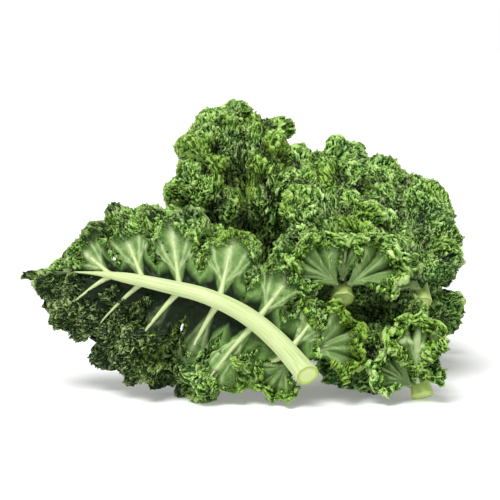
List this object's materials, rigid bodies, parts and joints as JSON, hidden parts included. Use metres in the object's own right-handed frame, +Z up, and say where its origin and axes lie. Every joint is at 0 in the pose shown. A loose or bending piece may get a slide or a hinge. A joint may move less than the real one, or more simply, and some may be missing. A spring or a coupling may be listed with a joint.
{
  "type": "kale bunch",
  "caption": "Loose heap of cut curly kale leaves with pale ribbed stalks and densely frilled green blades, lying down.",
  "frame": {"origin": "middle of the bounding box, on the surface that the heap lies on", "axes": "+Z up, +X to the right along the heap's longest way as the picture shows it, +Y from its front to its back"},
  "size_m": [0.3655, 0.2467, 0.2222],
  "materials": {
    "stalk": "satin",
    "blade": "satin"
  },
  "bodies": {
    "root": {"front_leaf_stalk": "stalk", "front_leaf_blade": "blade", "crown_leaf_stalk": "stalk", "crown_leaf_blade": "blade", "middle_leaf_stalk": "stalk", "middle_leaf_blade": "blade", "back_leaf_stalk": "stalk", "back_leaf_blade": "blade", "right_leaf_stalk": "stalk", "right_leaf_blade": "blade", "low_leaf_stalk": "stalk", "low_leaf_blade": "blade"}
  },
  "joints": []
}
